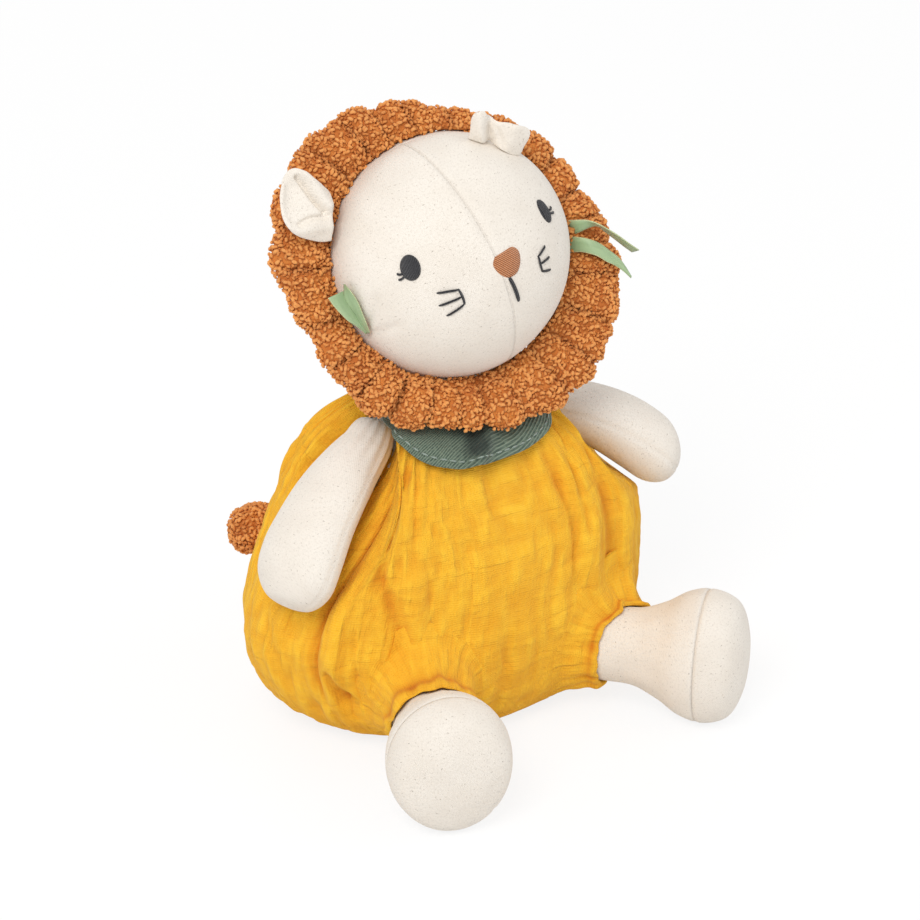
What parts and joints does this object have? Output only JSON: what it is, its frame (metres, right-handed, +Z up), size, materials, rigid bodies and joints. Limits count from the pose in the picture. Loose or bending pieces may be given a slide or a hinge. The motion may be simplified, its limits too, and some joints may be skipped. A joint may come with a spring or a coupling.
{
  "type": "plush lion",
  "caption": "Small sitting cloth lion: stuffed linen head and limbs, a gathered curly mane, a balloon romper and a neckerchief. Head, ears, arms, legs and tail move",
  "frame": {"origin": "on the surface that it sits on, under the middle of its body", "axes": "+Z up, -Y to the lion's front, +X to the lion's left"},
  "size_m": [0.1653, 0.1581, 0.2222],
  "materials": {
    "linen": "flecked oatmeal linen, plain weave, matt",
    "filling": "white polyester fibre",
    "curl": "caramel pile of short loose curls",
    "gauze": "mustard double gauze, crinkled, matt",
    "twill": "dark sage twill with a light running stitch",
    "ribbon": "sage satin ribbon, soft sheen",
    "thread": "near-black embroidery thread",
    "nose_thread": "copper satin stitch"
  },
  "bodies": {
    "torso_body": {"torso_cover": "linen", "torso_filling": "filling", "romper": "gauze", "collar": "twill"},
    "head_body": {"head_cover": "linen", "head_filling": "filling", "mane": "curl", "eye_left": "thread", "whiskers_left": "thread", "eye_right": "thread", "whiskers_right": "thread", "nose": "nose_thread", "mouth": "thread", "ribbon_left_upper": "ribbon", "ribbon_left_lower": "ribbon", "ribbon_right_upper": "ribbon", "ribbon_right_lower": "ribbon"},
    "ear_left_body": {"ear_left": "linen"},
    "ear_right_body": {"ear_right": "linen"},
    "arm_left_body": {"arm_left_cover": "linen", "arm_left_filling": "filling"},
    "arm_right_body": {"arm_right_cover": "linen", "arm_right_filling": "filling"},
    "leg_left_body": {"leg_left_cover": "linen", "leg_left_sole": "linen", "leg_left_filling": "filling"},
    "leg_right_body": {"leg_right_cover": "linen", "leg_right_sole": "linen", "leg_right_filling": "filling"},
    "tail_body": {"tail": "linen", "tail_tuft": "curl"}
  },
  "joints": [
    {"name": "head_turn", "type": "hinge", "parent": "torso_body", "child": "head_body", "pos_m": [0, -0.001, 0.164], "axis": [0, 0, 1], "range_deg": [-15, 15], "stiffness_Nm_per_rad": 0.3},
    {"name": "ear_left_fold", "type": "hinge", "parent": "head_body", "child": "ear_left_body", "pos_m": [0.01739, -0.0033, 0.20433], "axis": [0.8952, -0.2934, -0.3356], "range_deg": [-25, 10], "stiffness_Nm_per_rad": 0.02},
    {"name": "ear_right_fold", "type": "hinge", "parent": "head_body", "child": "ear_right_body", "pos_m": [-0.03831, 0.00119, 0.18601], "axis": [0.5465, 0.2979, 0.7826], "range_deg": [0, 35], "stiffness_Nm_per_rad": 0.02},
    {"name": "arm_left_swing", "type": "hinge", "parent": "torso_body", "child": "arm_left_body", "pos_m": [0.032, -0.002, 0.103], "axis": [-0.5373, 0, -0.8434], "range_deg": [-15, 30], "stiffness_Nm_per_rad": 0.15},
    {"name": "arm_right_swing", "type": "hinge", "parent": "torso_body", "child": "arm_right_body", "pos_m": [-0.032, -0.002, 0.103], "axis": [-0.6947, 0, 0.7193], "range_deg": [-15, 30], "stiffness_Nm_per_rad": 0.15},
    {"name": "leg_left_raise", "type": "hinge", "parent": "torso_body", "child": "leg_left_body", "pos_m": [0.033, -0.0355, 0.0231], "axis": [-0.7431, -0.6691, 0], "range_deg": [-15, 25], "stiffness_Nm_per_rad": 0.3},
    {"name": "leg_right_raise", "type": "hinge", "parent": "torso_body", "child": "leg_right_body", "pos_m": [-0.033, -0.0355, 0.0231], "axis": [-0.9397, 0.342, 0], "range_deg": [-15, 25], "stiffness_Nm_per_rad": 0.3},
    {"name": "tail_swing", "type": "hinge", "parent": "torso_body", "child": "tail_body", "pos_m": [-0.004, 0.043, 0.038], "axis": [0, 0, -1], "range_deg": [-5, 25], "stiffness_Nm_per_rad": 0.05}
  ]
}
